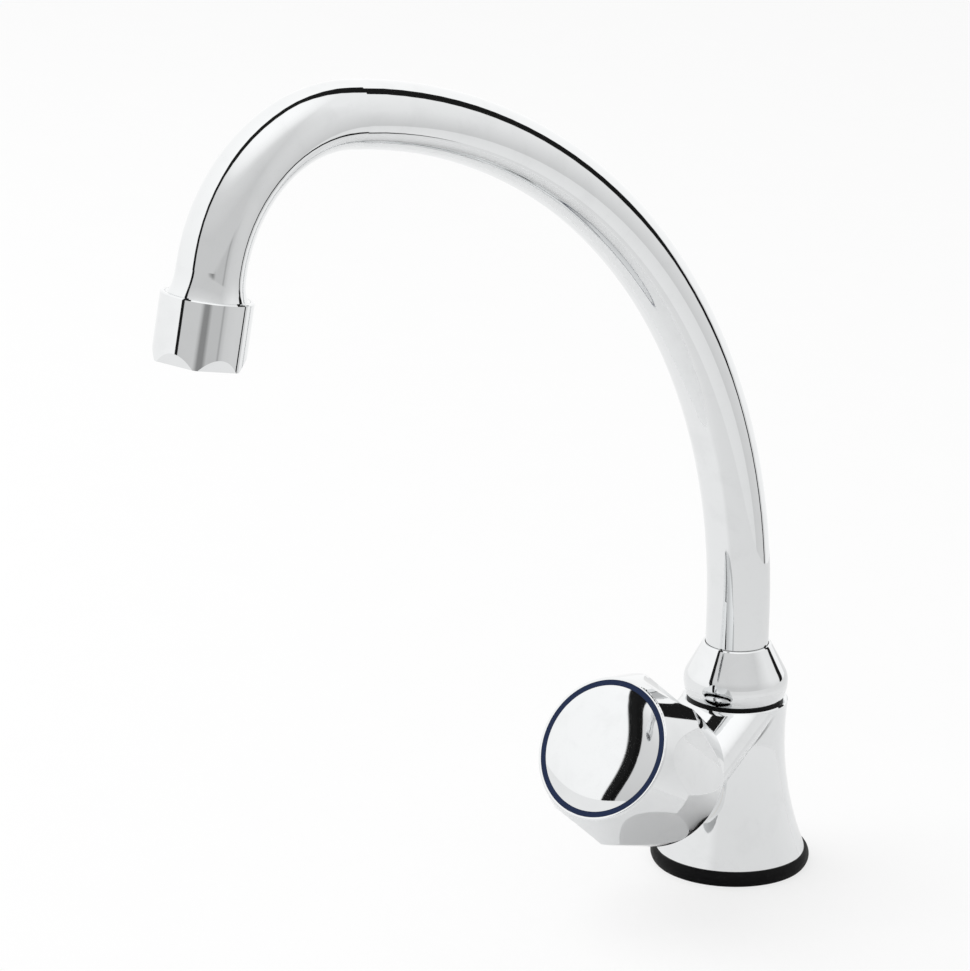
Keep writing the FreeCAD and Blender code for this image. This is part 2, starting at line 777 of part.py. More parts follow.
def net(low):
    """Round net with square holes."""
    radius = INSERT_R - INSERT_T
    half = SCREEN_HOLE / 2
    rows = [(row - (SCREEN_ROWS - 1) / 2) * SCREEN_PITCH for row in range(SCREEN_ROWS)]
    holes = []
    for x in rows:
        for y in rows:
            if math.hypot(abs(x) + half, abs(y) + half) < radius - SCREEN_RIM:
                corner = Vector(x - half, y - half, low - CUT_OVER)
                holes.append(Part.makeBox(SCREEN_HOLE, SCREEN_HOLE, SCREEN_T + 2 * CUT_OVER, corner))
    return rod(radius, low, low + SCREEN_T).cut(Part.makeCompound(holes))


NODES = {
    "tap_body": tap_body,
    "base_gasket": base_gasket,
    "nut_ring": nut_ring,
    "spout_nut": spout_nut,
    "slip_washer": slip_washer,
    "glide_ring": glide_ring,
    "spout_foot": lambda: on_spout(spout_foot()),
    "spout_o_rings": spout_o_rings,
    "spout_tube": lambda: on_spout(spout_tube()),
    "outlet_sleeve": outlet_sleeve,
    "aerator_shell": aerator_shell,
    "aerator_seal": aerator_seal,
    "aerator_insert": aerator_insert,
    "jet_plate": jet_plate,
    "aerator_screens": aerator_screens,
    "bonnet": lambda: on_valve_axis(bonnet()),
    "bonnet_seal": lambda: on_valve_axis(bonnet_seal()),
    "spindle": lambda: on_valve_axis(spindle()),
    "spindle_o_rings": lambda: on_valve_axis(spindle_o_rings()),
    "spindle_clip": lambda: on_valve_axis(spindle_clip()),
    "valve_piston": lambda: on_valve_axis(valve_piston()),
    "valve_washer": lambda: on_valve_axis(valve_washer()),
    "washer_screw": lambda: on_valve_axis(washer_screw()),
    "handle": lambda: on_valve_axis(handle()),
    "handle_screw": lambda: on_valve_axis(handle_screw()),
    "cold_ring": lambda: on_valve_axis(cold_ring()),
    "handle_cap": lambda: on_valve_axis(handle_cap()),
}


def main():
    os.makedirs("parts", exist_ok=True)
    for name, make in NODES.items():
        shape = make()
        shape.exportStep("parts/" + name + ".step")
        print(name, "solids", len(shape.Solids), "valid", shape.isValid(),
              "volume", round(shape.Volume, 1))


main()
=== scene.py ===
"""Finishes and studio for the kitchen tap.

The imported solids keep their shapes, and each operator gives one group of them
its real finish. Only the outlet sleeve gets a softer shape. All lengths are
metres, and the origin is the middle of the base on the worktop.
"""
import json
import math

import bpy
from bpy.props import FloatProperty, FloatVectorProperty, PointerProperty
from mathutils import Matrix, Vector


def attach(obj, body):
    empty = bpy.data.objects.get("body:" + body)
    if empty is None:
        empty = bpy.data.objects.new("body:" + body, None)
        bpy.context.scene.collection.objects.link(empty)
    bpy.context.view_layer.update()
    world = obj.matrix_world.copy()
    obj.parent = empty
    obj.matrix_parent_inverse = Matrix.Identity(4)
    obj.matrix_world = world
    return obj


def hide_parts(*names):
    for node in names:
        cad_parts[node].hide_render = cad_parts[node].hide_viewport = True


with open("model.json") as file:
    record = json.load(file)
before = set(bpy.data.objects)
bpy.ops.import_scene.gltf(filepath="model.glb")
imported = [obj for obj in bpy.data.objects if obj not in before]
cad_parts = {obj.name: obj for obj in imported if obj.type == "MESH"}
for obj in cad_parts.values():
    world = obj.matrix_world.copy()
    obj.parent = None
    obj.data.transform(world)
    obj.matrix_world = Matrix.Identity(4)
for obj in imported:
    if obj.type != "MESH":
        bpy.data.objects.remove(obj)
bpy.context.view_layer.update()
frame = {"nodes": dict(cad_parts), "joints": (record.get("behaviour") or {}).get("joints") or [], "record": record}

bl_info = {
    "name": "Kitchen tap finishes",
    "version": (1, 0, 0),
    "blender": (4, 5, 0),
    "location": "3D View > Sidebar > Tap",
    "description": "Chrome, rubber, brass and plastic finishes and a white studio for a swan-neck tap",
    "category": "Object",
}

MM = 0.001

# Inclined axis of the valve, and the outlet's axis along the water
VALVE = next(joint for joint in frame["joints"] if joint["name"] == "handle_turn")
OUTLET = next(mount for mount in frame["record"]["mounts"] if mount["name"] == "water_outlet")
VALVE_CENTRE = Vector(VALVE["pos_m"])
VALVE_TILT = math.asin(VALVE["axis"][2])
OUTLET_MOUTH = Vector(OUTLET["pos_m"])
OUTLET_AXIS = Vector(OUTLET["axis"])

# Bores where the plating ends: radius, and the two ends along the axis that they are turned on
BASE_RECESS = (18.2 * MM, 0.0, 8.6 * MM)
SPOUT_SEAT = (8.7 * MM, 32.0 * MM, 55.9 * MM)
BONNET_THREAD = (10.6 * MM, 24.0 * MM, 42.9 * MM)
NUT_FOOT = (12.1 * MM, 49.0 * MM, 56.4 * MM)
NUT_CHAMBER = (10.9 * MM, 56.3 * MM, 60.3 * MM)
NUT_NECK = (9.3 * MM, 60.2 * MM, 66.4 * MM)
SHELL_THREAD = (10.9 * MM, 1.3 * MM, 17.0 * MM)
KNOB_CAVITY = (17.3 * MM, 40.8 * MM, 66.0 * MM)

# Outside of the cast body's column, and the slanted plane of the crease below its shoulder, with
# the width and the heights between which the painted dark shade line along the crease comes in
WAIST_R = 14.65 * MM
WAIST_Z = 40.0 * MM
FLARE_R = 94.0 * MM
CREASE_NORMAL = (0.0, -0.7459, 0.6660)
CREASE_OFFSET = 33.23 * MM
CREASE_SHADE_WIDTH = 0.8 * MM
CREASE_SHADE_FADE = (48.0 * MM, 40.5 * MM)

# Outlet sleeve, by its heights above the mouth
TUBE_R = 9.0 * MM
TUBE_BORE_R = 8.0 * MM
SLEEVE_SEAT = 17.3 * MM
SLEEVE_TOP = SLEEVE_SEAT + 7.0 * MM
SLEEVE_END = SLEEVE_SEAT - 7.0 * MM
SLEEVE_FLARE = 1.15 * MM
SLEEVE_THREAD_R = 10.8 * MM
SLEEVE_RINGS = 14
SLEEVE_SIDES = 128

# Finishes: roughness that bare metal adds, brightness of the painted dark shade line in the crease, and colour of
# dust
BARE_ROUGHNESS = 0.30
PAINTED_CREASE_SHADE_TONE = 0.04
DUST = (0.30, 0.30, 0.29)

# Camera: its place, the width of its sensor in millimetres, and the nearest and farthest it sees
CAMERA_PLACE = (0.70196, -1.04283, 0.50990)
SENSOR = 36.0
CLIP = (0.05, 60.0)

# Soft lamp: its place and the side of its square
LAMP_PLACE = (-0.9, -0.5, 1.6)
LAMP_SIDE = 1.6

# Panels of the studio, as brightness at turns to the right of the camera and at lifts, in degrees
SIDE_SHARE = ((50, 0.0), (90, 1.0), (180, 1.1))
SIDE_RISE = ((-28, 0.0), (12, 0.25), (40, 0.33))
FRONT_TONE = 0.71
FRONT_ABOVE = ((18, 0.71), (30, 0.77), (42, 0.82), (48, 0.90), (54, 1.03), (60, 1.12), (72, 1.22),
               (90, 1.26))
FRONT_BELOW = ((-90, 0.98), (-45, 0.96), (-24, 0.91), (-18, 0.88))
BACK_TONE = ((-30, 1.0), (-12, 1.05), (0, 1.11), (30, 1.17), (60, 1.22), (90, 1.26))

# Lower edge of the front panels, in degrees below the horizon by turn
PANEL_EDGE = ((-60, 19.0), (75, 19.0), (90, 27.0), (140, 32.0))
EDGE_BLUR = 1.0

# Dark frame between the panels: directions square to its two legs and along it, as turn and lift
LEFT_LEG = (38.2, 17.1)
RIGHT_LEG = (29.5, 20.2)
ALONG_FRAME = (121.8, 0.0)

# Places along the frame, from -1 at its left end to 1 at its right end: where one leg gives way to
# the other, and its half width in degrees, which is less in the right leg by the share at each lift
LEG_CHANGE = (-0.05, 0.26)
HALF_FRAME = ((-1.0, 3.8), (-0.95, 3.5), (-0.85, 3.7), (-0.65, 4.2), (-0.5, 5.8), (0.2, 6.2),
              (0.54, 8.8), (0.82, 8.4), (0.95, 6.7), (1.0, 6.3))
RIGHT_LEG_NARROWING = ((-16, 0.30), (-10, 0.36), (-7, 0.62), (-2, 0.58), (3, 1.0))
FRAME_BLUR = 0.35
FRAME_TONE = 0.012

# Upright of the camera's stand and a thin one beside it, by turn, and where they show, by lift
STAND_TONE = ((-8, 1.0), (2, 0.42), (12, 0.42), (21, 0.88), (44, 0.88), (48, 0.62), (52, 0.88),
              (62, 1.0))
STAND_SHOWS = ((-16, 0.0), (-12, 1.0), (-2, 1.0), (0.5, 0.0))

# Low screen: brightness in front by the share of its height, and on the left of the camera
SCREEN_FRONT = ((0.0, 0.94), (0.45, 0.88), (1.0, 0.86))
SCREEN_ASIDE = ((20, 0.0), (34, 1.0), (180, 1.0))
SCREEN_LEFT = 1.0
SCREEN_SIDES = 128

# Floor: its two pale tones, and the share of plain white that the camera sees in it
FLOOR_TONES = (0.93, 0.96)
FLOOR_LIFT = 0.72


def colour_prop(name, description, default):
    """Linear colour that a user would change."""
    return FloatVectorProperty(name=name, description=description, subtype="COLOR", size=3,
                               min=0.0, max=1.0, default=default)


class TapFinishes(bpy.types.PropertyGroup):
    """Colours and polish of the tap's surfaces."""

    chrome: colour_prop("Chrome", "Colour of the plated surfaces", (0.775, 0.785, 0.790))
    chrome_roughness: FloatProperty(
        name="Chrome roughness", description="Roughness of the clean plating", default=0.035,
        min=0.0, max=1.0, subtype="FACTOR")
    brass: colour_prop("Brass", "Colour of bare machined brass", (0.66, 0.46, 0.20))
    steel: colour_prop("Steel", "Colour of the screws, the snap ring and the nets", (0.52, 0.53, 0.55))
    rubber: colour_prop("Rubber", "Colour of the base ring and the ring under the nut",
                        (0.003, 0.003, 0.0033))
    seal: colour_prop("Seals", "Colour of the o-rings and washers", (0.022, 0.022, 0.024))
    cold: colour_prop("Cold ring", "Colour of the ring that marks cold water", (0.007, 0.018, 0.060))
    plastic: colour_prop("White plastic", "Colour of the glide rings and the outlet insert",
                         (0.78, 0.78, 0.75))


class TapStudio(bpy.types.PropertyGroup):
    """Camera, light and floor."""

    camera_place: FloatVectorProperty(
        name="Camera place", description="Where the photograph was taken from", size=3,
        subtype="TRANSLATION", unit="LENGTH", default=CAMERA_PLACE)
    camera_pitch: FloatProperty(name="Camera pitch", description="Angle from looking straight down",
                                subtype="ANGLE", default=math.radians(72.3945))
    camera_turn: FloatProperty(name="Camera turn", description="Turn about the vertical",
                               subtype="ANGLE", default=math.radians(37.2563))
    camera_roll: FloatProperty(name="Camera roll", description="Roll about the line of sight",
                               subtype="ANGLE", default=math.radians(1.0447))
    lens: FloatProperty(name="Lens", description="Focal length on the 36 mm sensor",
                        unit="CAMERA", default=173.23)
    floor_size: FloatProperty(name="Floor size", description="Side of the pale floor",
                              unit="LENGTH", default=16.0)
    screen_radius: FloatProperty(
        name="Screen radius", description="Radius of the low light screen round the tap",
        unit="LENGTH", default=0.12)
    screen_height: FloatProperty(
        name="Screen height", description="Height of the low light screen round the tap",
        unit="LENGTH", default=0.056)
    ambient: FloatProperty(name="Ambient", description="Plain light from all round on the object",
                           min=0.0, max=2.0, default=0.68)
    lamp_power: FloatProperty(name="Lamp power", description="Power of the soft lamp", unit="POWER",
                              default=17.0)


class Nodes:
    """A node tree under construction, with short calls for the nodes that the finishes share."""

    def __init__(self, tree):
        self.tree = tree

    def add(self, kind, **values):
        """Add a node and set its own properties."""
        node = self.tree.nodes.new(kind)
        for name, value in values.items():
            setattr(node, name, value)
        return node

    def link(self, output, socket):
        """Link one node's output to another's socket."""
        self.tree.links.new(output, socket)

    def show(self, shader):
        """Make a shader's output the surface of the material."""
        output = next(node for node in self.tree.nodes if node.type == "OUTPUT_MATERIAL")
        self.link(shader, output.inputs["Surface"])

    def put(self, node, socket, value):
        """Set a socket from a number, a colour or another node's output."""
        place = node.inputs[socket]
        if isinstance(value, bpy.types.NodeSocket):
            self.link(value, place)
        else:
            place.default_value = value

    def math(self, operation, first, second=None, third=None):
        """Work out a number from one to three others."""
        node = self.add("ShaderNodeMath", operation=operation)
        for index, value in enumerate((first, second, third)):
            if value is not None:
                self.put(node, index, value)
        return node.outputs[0]

    def vector(self, operation, first, second=None):
        """Work out a vector, or the number that a dot product or a length is."""
        node = self.add("ShaderNodeVectorMath", operation=operation)
        self.put(node, 0, first)
        if second is not None:
            self.put(node, 1, second)
        return node.outputs["Value"] if operation in ("DOT_PRODUCT", "LENGTH") else node.outputs[0]

    def ramp(self, value, low, high, to_low=0.0, to_high=1.0, smooth=False):
        """Map a value from one range onto another, clamped."""
        node = self.add("ShaderNodeMapRange", clamp=True)
        node.interpolation_type = "SMOOTHSTEP" if smooth else "LINEAR"
        for index, number in enumerate((value, low, high, to_low, to_high)):
            self.put(node, index, number)
        return node.outputs["Result"]

    def mix(self, factor, first, second):
        """Mix two colours."""
        node = self.add("ShaderNodeMix", data_type="RGBA")
        self.put(node, 0, factor)
        self.put(node, 6, first)
        self.put(node, 7, second)
        return node.outputs[2]

    def between(self, share, first, second):
        """Mix two numbers."""
        node = self.add("ShaderNodeMix", data_type="FLOAT")
        for index, number in enumerate((share, first, second)):
            self.put(node, (0, 2, 3)[index], number)
        return node.outputs[0]

    def curve(self, value, stops):
        """Read a level off the straight runs between stops of place and level."""
        peak = max(level for place, level in stops)
        low, high = stops[0][0], stops[-1][0]
        node = self.add("ShaderNodeFloatCurve")
        points = node.mapping.curves[0].points
        while len(points) < len(stops):
            points.new(0.5, 0.5)
        for point, (place, level) in zip(points, stops):
            point.location = ((place - low) / (high - low), level / peak)
            point.handle_type = "VECTOR"
        node.mapping.update()
        self.put(node, "Value", self.ramp(value, low, high))
        return self.math("MULTIPLY", node.outputs["Value"], peak)

    def noise(self, vector, scale, detail=2.0, roughness=0.5, distortion=0.0):
        """Soft noise from nought to one."""
        node = self.add("ShaderNodeTexNoise")
        for name, value in (("Vector", vector), ("Scale", scale), ("Detail", detail),
                            ("Roughness", roughness), ("Distortion", distortion)):
            self.put(node, name, value)
        return node.outputs["Fac"]

    def group(self, tree, **values):
        """Place a shader group and set its sockets by their names."""
        node = self.add("ShaderNodeGroup", node_tree=tree)
        for name, value in values.items():
            self.put(node, name, value)
        return node


def new_group(name, inputs, outputs):
    """Empty shader group with named sockets, and its inner input and output nodes."""
    tree = bpy.data.node_groups.new(name, "ShaderNodeTree")
    for socket, kind, default in inputs:
        made = tree.interface.new_socket(name=socket, in_out="INPUT", socket_type=kind)
        if default is not None:
            made.default_value = default
    for socket in outputs:
        tree.interface.new_socket(name=socket, in_out="OUTPUT", socket_type="NodeSocketFloat")
    nodes = Nodes(tree)
    return nodes, nodes.add("NodeGroupInput"), nodes.add("NodeGroupOutput")


def polish_group():
    """Plating: slow waves of the metal below, faint smudges and fine wiping marks."""
    nodes, given, out = new_group(
        "Plating polish",
        [("Vector", "NodeSocketVector", None), ("Waves", "NodeSocketFloat", 60.0),
         ("Smudges", "NodeSocketFloat", 120.0), ("Grain", "NodeSocketFloat", 2200.0)],
        ["Height", "Haze", "Marks"])
    here = given.outputs["Vector"]
    waves = nodes.noise(here, given.outputs["Waves"], detail=1.0)
    haze = nodes.noise(here, given.outputs["Smudges"], detail=4.0, roughness=0.6, distortion=0.4)
    stretched = nodes.vector("MULTIPLY", here, (1.0, 1.0, 0.12))
    marks = nodes.noise(stretched, given.outputs["Grain"], detail=3.0, roughness=0.7)
    nodes.link(waves, out.inputs["Height"])
    nodes.link(nodes.ramp(haze, 0.45, 0.75, smooth=True), out.inputs["Haze"])
    nodes.link(nodes.ramp(marks, 0.62, 0.80), out.inputs["Marks"])
    return nodes.tree


def turning_group():
    """Lathe marks: fine rings about local Z, on the faces and along the length."""
    nodes, given, out = new_group(
        "Turning marks",
        [("Vector", "NodeSocketVector", None), ("Pitch", "NodeSocketFloat", 0.00022)],
        ["Height", "Tone"])
    here = given.outputs["Vector"]
    parts = nodes.add("ShaderNodeSeparateXYZ")
    nodes.link(here, parts.inputs[0])
    flat = nodes.vector("MULTIPLY", here, (1.0, 1.0, 0.0))
    radius = nodes.vector("LENGTH", flat)
    along = nodes.math("ADD", radius, parts.outputs["Z"])
    turns = nodes.math("DIVIDE", along, given.outputs["Pitch"])
    wobble = nodes.noise(here, 900.0)
    phase = nodes.math("MULTIPLY_ADD", wobble, 1.5, nodes.math("MULTIPLY", turns, 2 * math.pi))
    rings = nodes.math("MULTIPLY_ADD", nodes.math("SINE", phase), 0.5, 0.5)
    tone = nodes.noise(here, 260.0, detail=4.0, roughness=0.6)
    nodes.link(rings, out.inputs["Height"])
    nodes.link(nodes.ramp(tone, 0.3, 0.7), out.inputs["Tone"])
    return nodes.tree


def moulding_group():
    """Moulded rubber or plastic: soft unevenness, fine pores and a trace of dust."""
    nodes, given, out = new_group(
        "Moulded skin",
        [("Vector", "NodeSocketVector", None), ("Pores", "NodeSocketFloat", 3000.0)],
        ["Height", "Dust", "Tone"])
    here = given.outputs["Vector"]
    pores = nodes.noise(here, given.outputs["Pores"], detail=3.0, roughness=0.6)
    dust = nodes.noise(here, 420.0, detail=5.0, roughness=0.7)
    nodes.link(pores, out.inputs["Height"])
    nodes.link(nodes.ramp(dust, 0.55, 0.78), out.inputs["Dust"])
    nodes.link(nodes.noise(here, 90.0), out.inputs["Tone"])
    return nodes.tree


def bore_group():
    """One inside a round bore about local Z between two heights, and nought elsewhere."""
    nodes, given, out = new_group(
        "Bore mask",
        [("Vector", "NodeSocketVector", None), ("Radius", "NodeSocketFloat", 0.01),
         ("Low", "NodeSocketFloat", 0.0), ("High", "NodeSocketFloat", 0.01)],
        ["Inside"])
    parts = nodes.add("ShaderNodeSeparateXYZ")
    nodes.link(given.outputs["Vector"], parts.inputs[0])
    flat = nodes.vector("MULTIPLY", given.outputs["Vector"], (1.0, 1.0, 0.0))
    near = nodes.math("LESS_THAN", nodes.vector("LENGTH", flat), given.outputs["Radius"])
    above = nodes.math("GREATER_THAN", parts.outputs["Z"], given.outputs["Low"])
    below = nodes.math("LESS_THAN", parts.outputs["Z"], given.outputs["High"])
    inside = nodes.math("MULTIPLY", near, nodes.math("MULTIPLY", above, below))
    nodes.link(inside, out.inputs["Inside"])
    return nodes.tree


GROUPS = {}


def shared(name):
    """Shader group by its short name, built once."""
    if name not in GROUPS:
        GROUPS[name] = {"polish": polish_group, "turning": turning_group,
                        "moulding": moulding_group, "bore": bore_group}[name]()
    return GROUPS[name]


def upright():
    """Place of the upright axis through the base."""
    return Matrix.Identity(4)


def valve_place():
    """Place of the inclined valve axis."""
    return Matrix.Translation(VALVE_CENTRE) @ Matrix.Rotation(math.pi / 2 - VALVE_TILT, 4, "X")


def outlet_place():
    """Place of the outlet's axis, at its mouth, with Z up against the water."""
    turn = OUTLET_AXIS.to_track_quat("-Z", "Y")
    return Matrix.Translation(OUTLET_MOUTH) @ turn.to_matrix().to_4x4()


def new_material(name):
    """Empty material with its principled shader."""
    material = bpy.data.materials.new(name)
    material.use_nodes = True
    nodes = Nodes(material.node_tree)
    shader = next(node for node in nodes.tree.nodes if node.type == "BSDF_PRINCIPLED")
    return material, nodes, shader


def local_coordinates(nodes, place):
    """Object coordinates seen from a place, such as the valve axis."""
    source = nodes.add("ShaderNodeTexCoord").outputs["Object"]
    if place == Matrix.Identity(4):
        return source
    back = place.inverted()
    mapping = nodes.add("ShaderNodeMapping", vector_type="POINT")
    nodes.link(source, mapping.inputs["Vector"])
    nodes.put(mapping, "Location", back.to_translation())
    nodes.put(mapping, "Rotation", back.to_euler("XYZ"))
    return mapping.outputs["Vector"]


def bump(nodes, shader, height, distance):
    """Feed a height into the shader's normal."""
    node = nodes.add("ShaderNodeBump")
    nodes.put(node, "Height", height)
    nodes.put(node, "Distance", distance)
    nodes.link(node.outputs["Normal"], shader.inputs["Normal"])


def rgba(colour, gain=1.0):
    """Colour with its brightness changed, as a socket takes it."""
    return tuple(channel * gain for channel in colour) + (1.0,)


def chrome(name, finishes, place, waves=60.0, wave_depth=2.0e-6, bores=(), bare=None, crease=False):
    """Chrome plating; bores, each a place and its sizes, show the bare metal below it, and crease paints a dark
    shade line into the base colour along the body's crease.
    """
    material, nodes, shader = new_material(name)
    here = local_coordinates(nodes, place)
    polish = nodes.group(shared("polish"), Vector=here, Waves=waves)
    plate = nodes.mix(polish.outputs["Haze"], rgba(finishes.chrome), rgba(finishes.chrome, 0.965))
    plate = nodes.mix(nodes.math("MULTIPLY", polish.outputs["Marks"], 0.5), plate,
                      rgba(finishes.chrome, 0.93))
    gloss = nodes.math("MULTIPLY_ADD", polish.outputs["Haze"], 0.02, finishes.chrome_roughness)
    gloss = nodes.math("MULTIPLY_ADD", polish.outputs["Marks"], 0.03, gloss)
    if bores:
        mask = 0.0
        for bore_place, (radius, low, high) in bores:
            there = local_coordinates(nodes, bore_place)
            one = nodes.group(shared("bore"), Vector=there, Radius=radius, Low=low, High=high)
            mask = nodes.math("MAXIMUM", one.outputs["Inside"], mask)
        turned = nodes.group(shared("turning"), Vector=here)
        bare = finishes.brass if bare is None else bare
        metal = nodes.mix(turned.outputs["Tone"], rgba(bare, 0.80), rgba(bare))
        plate = nodes.mix(mask, plate, metal)
        gloss = nodes.math("MULTIPLY_ADD", mask, BARE_ROUGHNESS, gloss)
    if crease:
        # Painted shade: the base colour goes nearly black along the crease under the body's shoulder
        plate = nodes.mix(painted_crease_shade_mask(nodes), plate, rgba(finishes.chrome, PAINTED_CREASE_SHADE_TONE))
    nodes.put(shader, "Base Color", plate)
    nodes.put(shader, "Metallic", 1.0)
    nodes.put(shader, "Roughness", gloss)
    bump(nodes, shader, polish.outputs["Height"], wave_depth)
    return material


def painted_crease_shade_mask(nodes):
    """Mask of the painted dark shade line: one along the crease between the column and the shoulder over it,
    fading upwards.
    """
    here = local_coordinates(nodes, upright())
    height = nodes.vector("DOT_PRODUCT", here, (0.0, 0.0, 1.0))
    drop = nodes.math("SUBTRACT", height, WAIST_Z)
    chord = nodes.math("SUBTRACT", FLARE_R ** 2, nodes.math("MULTIPLY", drop, drop))
    column = nodes.math("SUBTRACT", WAIST_R + FLARE_R, nodes.math("SQRT", chord))
    across = nodes.vector("LENGTH", nodes.vector("MULTIPLY", here, (1.0, 1.0, 0.0)))
    off_column = nodes.math("ABSOLUTE", nodes.math("SUBTRACT", across, column))
    rise = nodes.vector("DOT_PRODUCT", here, CREASE_NORMAL)
    off_crease = nodes.math("ABSOLUTE", nodes.math("SUBTRACT", rise, CREASE_OFFSET))
    off = nodes.math("MAXIMUM", off_column, off_crease)
    near = nodes.ramp(off, CREASE_SHADE_WIDTH, CREASE_SHADE_WIDTH / 3)
    return nodes.math("MULTIPLY", near, nodes.ramp(height, *CREASE_SHADE_FADE))


def turned_metal(name, colour, roughness, place, pitch=0.00022, depth=1.2e-6):
    """Bare metal turned on a lathe."""
    material, nodes, shader = new_material(name)
    here = local_coordinates(nodes, place)
    marks = nodes.group(shared("turning"), Vector=here, Pitch=pitch)
    tone = nodes.mix(marks.outputs["Tone"], rgba(colour, 0.82), rgba(colour))
    nodes.put(shader, "Base Color", tone)
    nodes.put(shader, "Metallic", 1.0)
    nodes.put(shader, "Roughness", nodes.ramp(marks.outputs["Tone"], 0.0, 1.0,
                                             roughness + 0.08, roughness))
    bump(nodes, shader, marks.outputs["Height"], depth)
    return material


def moulded(name, colour, roughness, pores=3000.0, depth=6.0e-6, dust=0.06, shine=0.5):
    """Moulded rubber or plastic, with a trace of pale dust."""
    material, nodes, shader = new_material(name)
    skin = nodes.group(shared("moulding"), Vector=local_coordinates(nodes, upright()), Pores=pores)
    body = nodes.mix(skin.outputs["Tone"], rgba(colour, 0.88), rgba(colour, 1.08))
    amount = nodes.math("MULTIPLY", skin.outputs["Dust"], dust)
    nodes.put(shader, "Base Color", nodes.mix(amount, body, rgba(DUST)))
    nodes.put(shader, "Roughness", nodes.ramp(skin.outputs["Tone"], 0.3, 0.7, roughness - 0.05,
                                             roughness + 0.05))
    nodes.put(shader, "Specular IOR Level", shine)
    bump(nodes, shader, skin.outputs["Height"], depth)
    return material


def finish_node(name, material):
    """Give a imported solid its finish."""
    slots = frame["nodes"][name].material_slots
    if not slots:
        raise RuntimeError("the packed solid " + name + " has no material slot")
    for slot in slots:
        slot.material = material


def ring_to(low, high):
    """Extrude the chosen ring from one radius and height to the next."""
    bpy.ops.mesh.extrude_edges_move(TRANSFORM_OT_translate={"value": (0.0, 0.0, high[1] - low[1])})
    ratio = high[0] / low[0]
    bpy.ops.transform.resize(value=(ratio, ratio, 1.0))


def flared_sleeve():
    """Sleeve that runs on from the tube and flares softly to the outlet shell's seat."""
    flare = [(TUBE_R + SLEEVE_FLARE * (step / SLEEVE_RINGS) ** 3,
              SLEEVE_TOP + (SLEEVE_SEAT - SLEEVE_TOP) * step / SLEEVE_RINGS)
             for step in range(SLEEVE_RINGS + 1)]
    rings = [(TUBE_BORE_R, SLEEVE_TOP)] + flare
    rings += [(SLEEVE_THREAD_R, SLEEVE_SEAT), (SLEEVE_THREAD_R, SLEEVE_END), (TUBE_BORE_R, SLEEVE_END),
              (TUBE_BORE_R, SLEEVE_TOP)]
    bpy.ops.object.select_all(action="DESELECT")
    bpy.ops.mesh.primitive_circle_add(vertices=SLEEVE_SIDES, radius=TUBE_BORE_R)
    sleeve = bpy.context.object
    sleeve.name = "Flared_sleeve"
    bpy.ops.object.mode_set(mode="EDIT")
    bpy.ops.mesh.select_all(action="SELECT")
    bpy.ops.transform.translate(value=(0.0, 0.0, SLEEVE_TOP))
    for low, high in zip(rings, rings[1:]):
        ring_to(low, high)
    bpy.ops.mesh.select_all(action="SELECT")
    bpy.ops.mesh.remove_doubles(threshold=1.0e-6)
    bpy.ops.mesh.normals_make_consistent(inside=False)
    bpy.ops.object.mode_set(mode="OBJECT")
    bpy.ops.object.shade_smooth_by_angle(angle=math.radians(30.0))
    sleeve.matrix_world = outlet_place()
    bpy.ops.object.transform_apply(location=True, rotation=True, scale=True)
    return sleeve


class TAP_OT_body(bpy.types.Operator):
    """Plate the cast body, leave its waterways and underside in bare brass, and paint a dark shade line along the
    crease under its shoulder
    """

    bl_idname = "tap.body"
    bl_label = "Body"

    def execute(self, context):
        bores = (
            (upright(), BASE_RECESS),
            (upright(), SPOUT_SEAT),
            (valve_place(), BONNET_THREAD),
        )
        # crease=True paints the dark shade line along the crease into the base colour
        finish_node("tap_body", chrome("Body chrome", context.scene.tap_finishes, upright(),
                                       bores=bores, crease=True))
        return {"FINISHED"}


class TAP_OT_nut(bpy.types.Operator):
    """Plate the union nut, with its inside in bare brass, and blacken the rubber ring under it, whose black also
    stands in for the shade in the gap under the nut
    """

    bl_idname = "tap.nut"
    bl_label = "Union nut"

    def execute(self, context):
        bores = [(upright(), bore) for bore in (NUT_FOOT, NUT_CHAMBER, NUT_NECK)]
        finishes = context.scene.tap_finishes
        finish_node("spout_nut", chrome("Nut chrome", finishes, upright(), waves=90.0,
                                        wave_depth=1.0e-6, bores=bores))
        # Black rubber ring; its black also serves as painted shade in the gap under the nut
        finish_node("nut_ring", moulded("Nut ring rubber and gap shade", finishes.rubber, 0.45, pores=4000.0,
                                        depth=3.0e-6, dust=0.02, shine=0.1))
        return {"FINISHED"}


class TAP_OT_spout(bpy.types.Operator):
    """Polish the bent tube and its flared sleeve"""

    bl_idname = "tap.spout"
    bl_label = "Spout"

    def execute(self, context):
        finishes = context.scene.tap_finishes
        tube = chrome("Tube chrome", finishes, upright(), waves=45.0, wave_depth=1.5e-6)
        finish_node("spout_tube", tube)
        finish_node("outlet_sleeve", tube)
        sleeve = flared_sleeve()
        sleeve.data.materials.append(tube)
        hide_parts("outlet_sleeve")
        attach(sleeve, "spout")
        finish_node("spout_foot", turned_metal("Foot brass", finishes.brass, 0.24, upright()))
        return {"FINISHED"}


class TAP_OT_outlet(bpy.types.Operator):
    """Finish the outlet shell and what is inside it"""

    bl_idname = "tap.outlet"
    bl_label = "Outlet"

    def execute(self, context):
        finishes = context.scene.tap_finishes
        bores = ((outlet_place(), SHELL_THREAD),)
        finish_node("aerator_shell", chrome("Outlet chrome", finishes, outlet_place(), waves=80.0,
                                            wave_depth=1.0e-6, bores=bores))
        plastic = moulded("Outlet plastic", finishes.plastic, 0.38, pores=1800.0, depth=3.0e-6,
                          dust=0.05)
        finish_node("aerator_insert", plastic)
        finish_node("jet_plate", plastic)
        net = turned_metal("Net steel", finishes.steel, 0.30, outlet_place(), pitch=0.0004)
        finish_node("aerator_screens", net)
        return {"FINISHED"}


